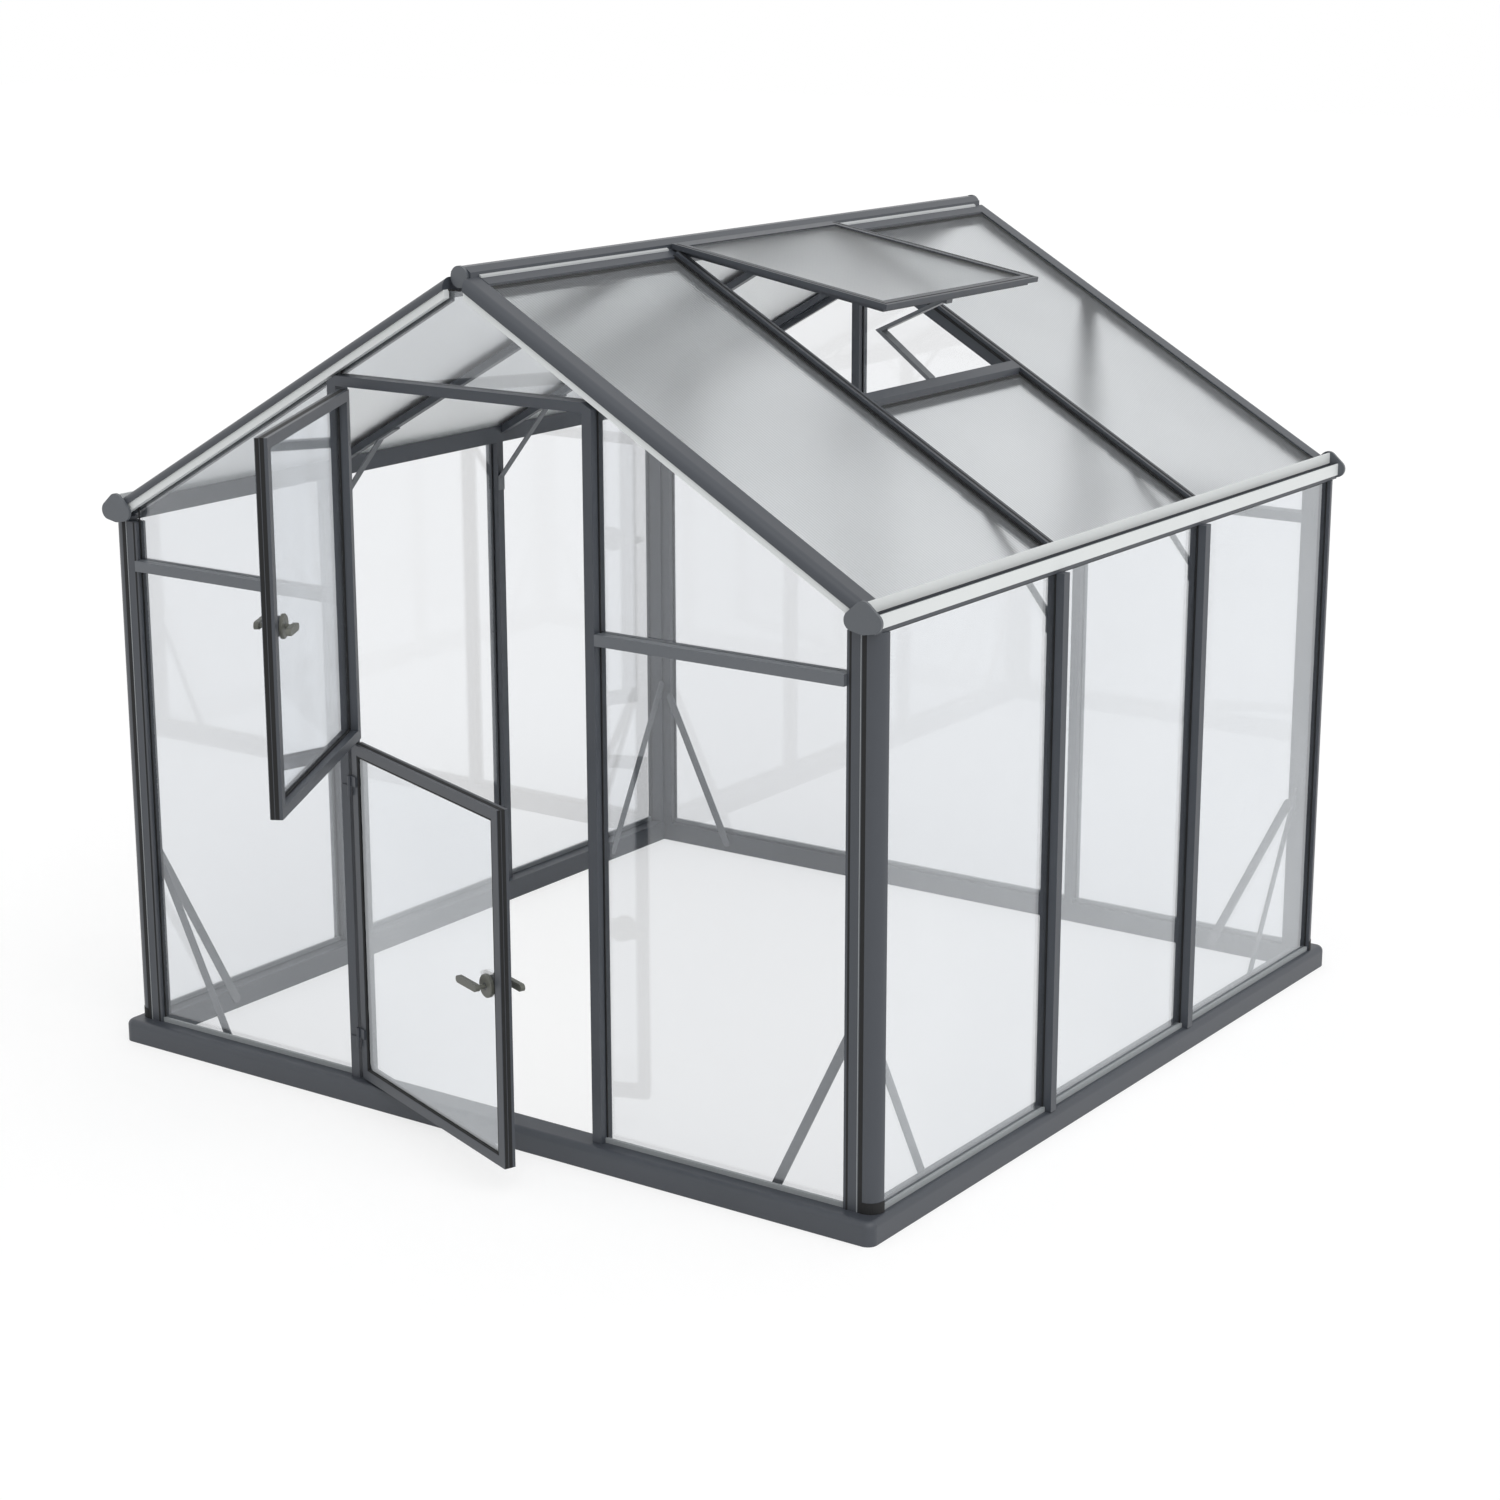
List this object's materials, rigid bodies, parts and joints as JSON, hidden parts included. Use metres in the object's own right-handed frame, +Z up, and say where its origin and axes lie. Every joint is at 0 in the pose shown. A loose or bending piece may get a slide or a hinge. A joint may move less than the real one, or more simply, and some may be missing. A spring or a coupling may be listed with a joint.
{
  "type": "small glass greenhouse",
  "caption": "Small walk-in greenhouse with dark metal bars, glass walls, a translucent twin-wall roof with a propped vent, and a stable door split across the middle.",
  "frame": {"origin": "middle of the underside of the front base rail, below the doorway", "axes": "+X along the front gable to the right as seen from outside, +Y from the door to the back, +Z up"},
  "size_m": [2.424, 3.0812, 2.1709],
  "materials": {
    "anthracite_frame": "satin anthracite powder coat",
    "clear_glass": "clear float glass",
    "twin_wall_sheet": "translucent twin-wall sheet with fine ribs down the slope",
    "pale_seal": "pale grey sealing strip",
    "brace_metal": "plain grey flat bar",
    "handle_plastic": "dark grey moulded handle",
    "cap_plastic": "moulded anthracite end cap"
  },
  "bodies": {
    "greenhouse": {"back_end_caps": "cap_plastic", "back_glass": "clear_glass", "back_rafters": "anthracite_frame", "back_rails": "anthracite_frame", "back_studs": "anthracite_frame", "base_back": "anthracite_frame", "base_front": "anthracite_frame", "base_left": "anthracite_frame", "base_right": "anthracite_frame", "corner_post_back_left": "anthracite_frame", "corner_post_back_right": "anthracite_frame", "corner_post_front_left": "anthracite_frame", "corner_post_front_right": "anthracite_frame", "corner_struts": "brace_metal", "door_header": "anthracite_frame", "door_hinge_pins": "anthracite_frame", "door_jambs": "anthracite_frame", "eave_left": "anthracite_frame", "eave_right": "anthracite_frame", "eave_strips": "pale_seal", "front_end_caps": "cap_plastic", "front_glass": "clear_glass", "front_rafters": "anthracite_frame", "front_rails": "anthracite_frame", "gable_strips": "pale_seal", "knee_braces": "brace_metal", "left_glass": "clear_glass", "left_roof_bars": "anthracite_frame", "left_roof_panels": "twin_wall_sheet", "left_wall_studs": "anthracite_frame", "ridge_beam": "anthracite_frame", "ridge_strips": "pale_seal", "right_glass": "clear_glass", "right_roof_bars": "anthracite_frame", "right_roof_panels": "twin_wall_sheet", "right_wall_studs": "anthracite_frame", "sill_strips": "pale_seal", "vent_frame": "anthracite_frame", "vent_opener": "brace_metal", "vent_panel": "twin_wall_sheet", "vent_sill": "anthracite_frame"},
    "lower_door": {"lower_door_fittings": "anthracite_frame", "lower_door_glass": "clear_glass", "lower_door_rails": "anthracite_frame", "lower_door_stiles": "anthracite_frame"},
    "lower_handle": {"lower_door_handle": "handle_plastic"},
    "upper_door": {"upper_door_fittings": "anthracite_frame", "upper_door_glass": "clear_glass", "upper_door_rails": "anthracite_frame", "upper_door_stiles": "anthracite_frame"},
    "upper_handle": {"upper_door_handle": "handle_plastic"}
  },
  "joints": [
    {"name": "lower_door_hinge", "type": "hinge", "parent": "greenhouse", "child": "lower_door", "pos_m": [-0.3745, -0.0135, 0.51278], "axis": [0, 0, -1], "range_deg": [-21, 94]},
    {"name": "lower_handle_turn", "type": "hinge", "parent": "lower_door", "child": "lower_handle", "pos_m": [0.26693, -0.23723, 0.51278], "axis": [-0.3584, -0.9336, 0], "range_deg": [0, 90]},
    {"name": "upper_door_hinge", "type": "hinge", "parent": "greenhouse", "child": "upper_door", "pos_m": [-0.3745, -0.0135, 1.41433], "axis": [0, 0, -1], "range_deg": [-62, 53]},
    {"name": "upper_handle_turn", "type": "hinge", "parent": "upper_door", "child": "upper_handle", "pos_m": [-0.03719, -0.60316, 1.41433], "axis": [-0.8829, -0.4695, 0], "range_deg": [0, 90]}
  ]
}
